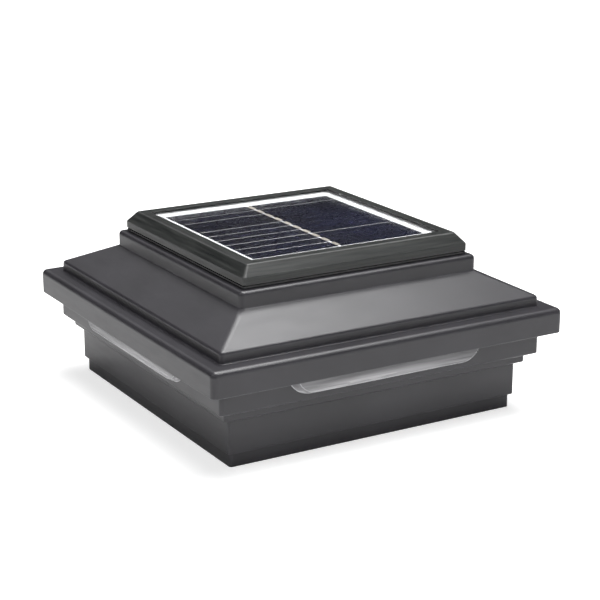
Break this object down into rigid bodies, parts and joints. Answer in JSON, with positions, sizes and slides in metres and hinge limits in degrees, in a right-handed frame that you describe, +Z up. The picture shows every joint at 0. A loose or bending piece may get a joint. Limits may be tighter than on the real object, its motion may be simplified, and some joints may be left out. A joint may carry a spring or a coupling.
{
  "type": "solar post cap light",
  "caption": "Square solar post cap light: stepped lift-off cap on a post sleeve, light lenses under its rim, framed solar panel on top, battery door and slide switch beneath.",
  "frame": {"origin": "centre of the underside of the post sleeve's foot", "axes": "+Z up through the solar panel; -Y is the front side and +X the right side, each square to a lens"},
  "size_m": [0.18, 0.18, 0.082],
  "materials": {
    "shell_plastic": "satin moulded black, fine even grain",
    "bezel_plastic": "glossy black",
    "inner_plastic": "matt black",
    "knob_plastic": "matt grey",
    "lens_plastic": "smoky translucent",
    "reflector_plastic": "glossy white",
    "clear_sheet": "clear, smooth",
    "white_sheet": "matt white",
    "silicon": "dark blue-black, grained",
    "tinned_ribbon": "tinned",
    "seal_rubber": "matt black",
    "steel": "plated",
    "contact_metal": "nickel plated",
    "circuit_board": "green solder mask",
    "chip_epoxy": "matt black epoxy",
    "ferrite": "dark grey",
    "can_aluminium": "satin",
    "socket_nylon": "ivory",
    "led_package": "yellow phosphor in a white package",
    "cell_wrap": "shrink wrap",
    "lead_jacket": "soft black"
  },
  "bodies": {
    "base": {"post_base": "shell_plastic"},
    "battery_door": {"battery_door": "inner_plastic", "door_seal": "seal_rubber"},
    "switch_knob": {"switch_knob": "knob_plastic"},
    "cap": {"lower_housing": "shell_plastic", "roof_shell": "shell_plastic", "inner_cover": "inner_plastic", "module_tray": "inner_plastic", "bezel": "bezel_plastic", "deck_gasket": "seal_rubber", "panel_backsheet": "white_sheet", "panel_cover": "clear_sheet", "solar_cells": "silicon", "cell_ribbons": "tinned_ribbon", "door_hinge_pin": "steel", "switch_body": "steel", "control_board": "circuit_board", "control_chip": "chip_epoxy", "inductor": "ferrite", "capacitor": "can_aluminium", "board_passives": "chip_epoxy", "lead_sockets": "socket_nylon", "battery_rear": "cell_wrap", "battery_front": "cell_wrap", "contact_plates": "contact_metal", "contact_springs": "contact_metal", "housing_screws": "steel", "cover_screws": "steel", "bezel_screws": "steel", "board_screws": "steel", "led_lead_front": "lead_jacket", "led_lead_left": "lead_jacket", "led_lead_back": "lead_jacket", "led_lead_right": "lead_jacket", "switch_lead": "lead_jacket", "panel_lead": "lead_jacket", "battery_lead": "lead_jacket", "lens_front": "lens_plastic", "reflector_front": "reflector_plastic", "led_board_front": "circuit_board", "leds_front": "led_package", "lens_right": "lens_plastic", "reflector_right": "reflector_plastic", "led_board_right": "circuit_board", "leds_right": "led_package", "lens_back": "lens_plastic", "reflector_back": "reflector_plastic", "led_board_back": "circuit_board", "leds_back": "led_package", "lens_left": "lens_plastic", "reflector_left": "reflector_plastic", "led_board_left": "circuit_board", "leds_left": "led_package"}
  },
  "joints": [
    {"name": "cap_lift", "type": "slide", "parent": "base", "child": "cap", "axis": [0, 0, 1], "range_m": [0, 0.06]},
    {"name": "battery_door_hinge", "type": "hinge", "parent": "cap", "child": "battery_door", "pos_m": [0, -0.0194, 0.0388], "axis": [-1, 0, 0], "range_deg": [0, 95]},
    {"name": "switch_slide", "type": "slide", "parent": "cap", "child": "switch_knob", "axis": [0, 1, 0], "range_m": [0, 0.004]}
  ]
}
